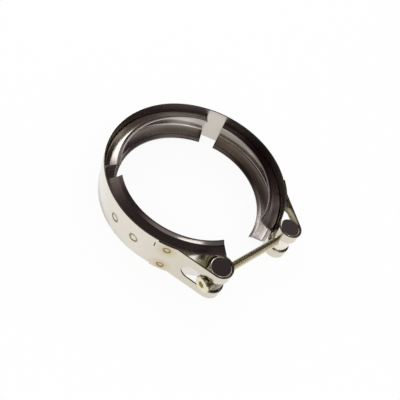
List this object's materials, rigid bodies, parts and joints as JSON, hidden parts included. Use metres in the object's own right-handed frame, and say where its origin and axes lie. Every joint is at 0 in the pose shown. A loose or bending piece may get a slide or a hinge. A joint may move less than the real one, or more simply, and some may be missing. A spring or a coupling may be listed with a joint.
{
  "type": "exhaust clamp",
  "caption": "Band clamp for V-flange exhaust joints: a spring band with welded V inserts, drawn together by a screw through two loop pins.",
  "frame": {"origin": "centre of the ring at half the band's width", "axes": "+Z along the ring's axis, X along the screw with its head towards -X, and the opening on the -Y side"},
  "size_m": [0.138, 0.1474, 0.0294],
  "materials": {
    "band_steel": "brushed stainless sheet with heat tint at the welds",
    "insert_steel": "rolled stainless sheet",
    "pin_steel": "turned stainless bar",
    "screw_steel": "yellowish plated steel"
  },
  "bodies": {
    "root": {"band": "band_steel", "rear_insert": "insert_steel"},
    "left_arm": {"left_insert": "insert_steel"},
    "right_arm": {"right_insert": "insert_steel"},
    "plain_pin": {"plain_trunnion": "pin_steel"},
    "threaded_pin": {"threaded_trunnion": "pin_steel"},
    "screw": {"screw": "screw_steel"}
  },
  "joints": [
    {"name": "screw_spin", "type": "hinge", "parent": "plain_pin", "child": "screw", "pos_m": [-0.0336, -0.06955, 0], "axis": [1, 0, 0], "range_deg": [-2160, 4320]},
    {"name": "left_flex", "type": "hinge", "parent": "root", "child": "left_arm", "pos_m": [-0.05809, 0.0363, 0], "axis": [0, 0, 1], "range_deg": [-1.7, 3.3], "deforming": ["band"]},
    {"name": "right_flex", "type": "hinge", "parent": "root", "child": "right_arm", "pos_m": [0.05809, 0.0363, 0], "axis": [0, 0, 1], "range_deg": [-3.3, 1.7], "deforming": ["band"]},
    {"name": "plain_pin_turn", "type": "hinge", "parent": "left_arm", "child": "plain_pin", "pos_m": [-0.0336, -0.06955, 0], "axis": [0, 0, 1], "range_deg": [-3.3, 1.7]},
    {"name": "threaded_pin_turn", "type": "hinge", "parent": "right_arm", "child": "threaded_pin", "pos_m": [0.0336, -0.06955, 0], "axis": [0, 0, 1], "range_deg": [-1.7, 3.3]}
  ],
  "couplings": [
    {"joint": "left_flex", "follows": "screw_spin", "ratio": 0.0007518},
    {"joint": "right_flex", "follows": "screw_spin", "ratio": -0.0007518},
    {"joint": "plain_pin_turn", "follows": "screw_spin", "ratio": -0.0007518},
    {"joint": "threaded_pin_turn", "follows": "screw_spin", "ratio": 0.0007518}
  ]
}
